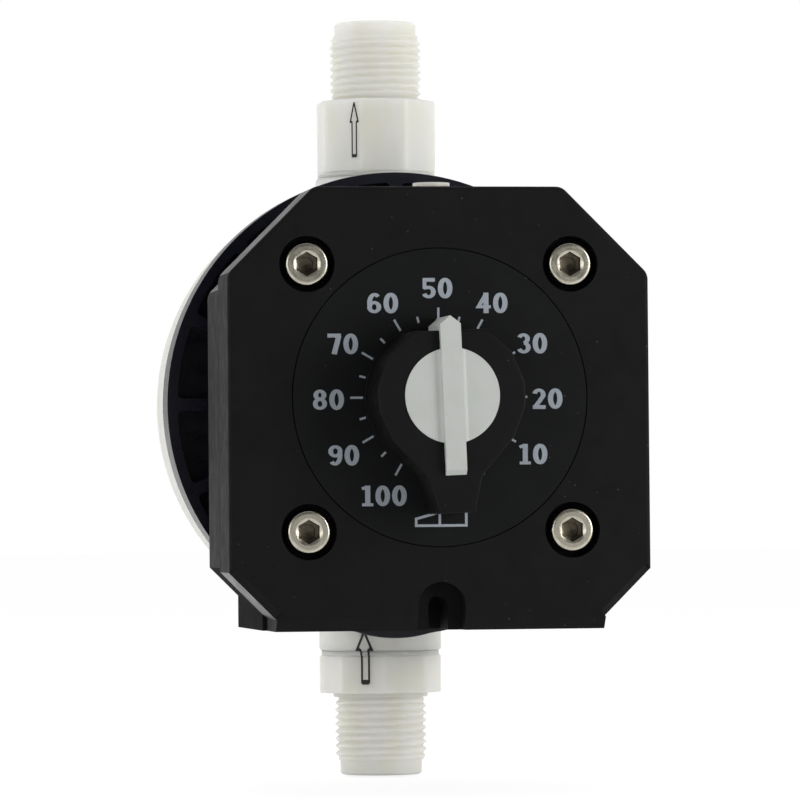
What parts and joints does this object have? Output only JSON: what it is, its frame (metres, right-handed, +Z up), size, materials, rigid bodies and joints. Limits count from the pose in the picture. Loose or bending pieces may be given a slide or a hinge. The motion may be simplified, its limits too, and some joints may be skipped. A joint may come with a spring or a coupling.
{
  "type": "diaphragm metering pump",
  "caption": "Air-driven diaphragm metering pump with an octagonal drive housing, a stroke dial and knob, a ribbed backplate, and a dosing head with ball valves above and below.",
  "frame": {"origin": "centre of the foot's bolt pattern, on the foot plane", "axes": "+Z up along the flow, -Y towards the dial and knob, +Y towards the dosing head, +X to the right as seen from the dial"},
  "size_m": [0.114, 0.1304, 0.189],
  "materials": {
    "housing_black": "matt, finely grained",
    "dial_black": "matt, printed in pale grey",
    "knob_black": "satin",
    "pale_plastic": "satin",
    "navy_plastic": "matt",
    "fluoropolymer": "milky, slightly translucent",
    "ptfe_white": "waxy",
    "ceramic": "polished",
    "rubber": "matt",
    "stainless": "turned, bright",
    "spring_steel": "drawn wire",
    "aluminium": "turned",
    "brass": "turned"
  },
  "bodies": {
    "housing": {"front_cover": "housing_black", "cover_gasket": "rubber", "housing_body": "housing_black", "foot_inserts": "brass", "cover_screws": "stainless", "scale_plate": "dial_black", "spindle_bush": "brass", "return_spring": "spring_steel", "rod_bush": "brass", "rod_seal": "rubber", "backplate": "navy_plastic", "backplate_screws": "stainless", "diaphragm": "ptfe_white", "dosing_head": "fluoropolymer", "head_screws": "stainless", "head_washers": "stainless", "head_inserts": "brass", "discharge_valve_base": "fluoropolymer", "discharge_valve_connector": "fluoropolymer", "discharge_seat": "ptfe_white", "discharge_seat_ring": "rubber", "suction_valve_base": "fluoropolymer", "suction_valve_connector": "fluoropolymer", "suction_seat": "ptfe_white", "suction_seat_ring": "rubber", "air_sleeve": "brass", "air_ring": "rubber"},
    "knob": {"knob_body": "knob_black", "knob_pointer": "pale_plastic", "knob_nut": "brass", "adjusting_spindle": "stainless", "spindle_circlip": "spring_steel", "spindle_ring": "rubber"},
    "stop": {"stop_nut": "brass"},
    "piston": {"piston": "aluminium", "piston_seal": "rubber", "push_rod": "stainless", "diaphragm_core": "stainless"},
    "discharge_ball": {"discharge_ball": "ceramic"},
    "suction_ball": {"suction_ball": "ceramic"},
    "collet": {"air_collet": "pale_plastic"}
  },
  "joints": [
    {"name": "knob_turn", "type": "hinge", "parent": "housing", "child": "knob", "pos_m": [0, -0.05, 0.0545], "axis": [0, 1, 0], "range_deg": [-147.9, 152.1]},
    {"name": "stop_travel", "type": "slide", "parent": "housing", "child": "stop", "axis": [0, 1, 0], "range_m": [-0.00123, 0.00127]},
    {"name": "piston_stroke", "type": "slide", "parent": "stop", "child": "piston", "axis": [0, 1, 0], "range_m": [0, 0.00127], "stiffness_N_per_m": 3000, "springref_m": -0.004, "deforming": ["return_spring", "diaphragm"]},
    {"name": "discharge_ball_lift", "type": "slide", "parent": "housing", "child": "discharge_ball", "axis": [0, 0, 1], "range_m": [0, 0.0018]},
    {"name": "suction_ball_lift", "type": "slide", "parent": "housing", "child": "suction_ball", "axis": [0, 0, 1], "range_m": [0, 0.0018]},
    {"name": "collet_press", "type": "slide", "parent": "housing", "child": "collet", "axis": [0, 0, -1], "range_m": [0, 0.001], "stiffness_N_per_m": 500, "springref_m": -0.0006}
  ],
  "couplings": [
    {"joint": "knob_turn", "follows": "stop_travel", "rad_per_m": 2094.4}
  ]
}
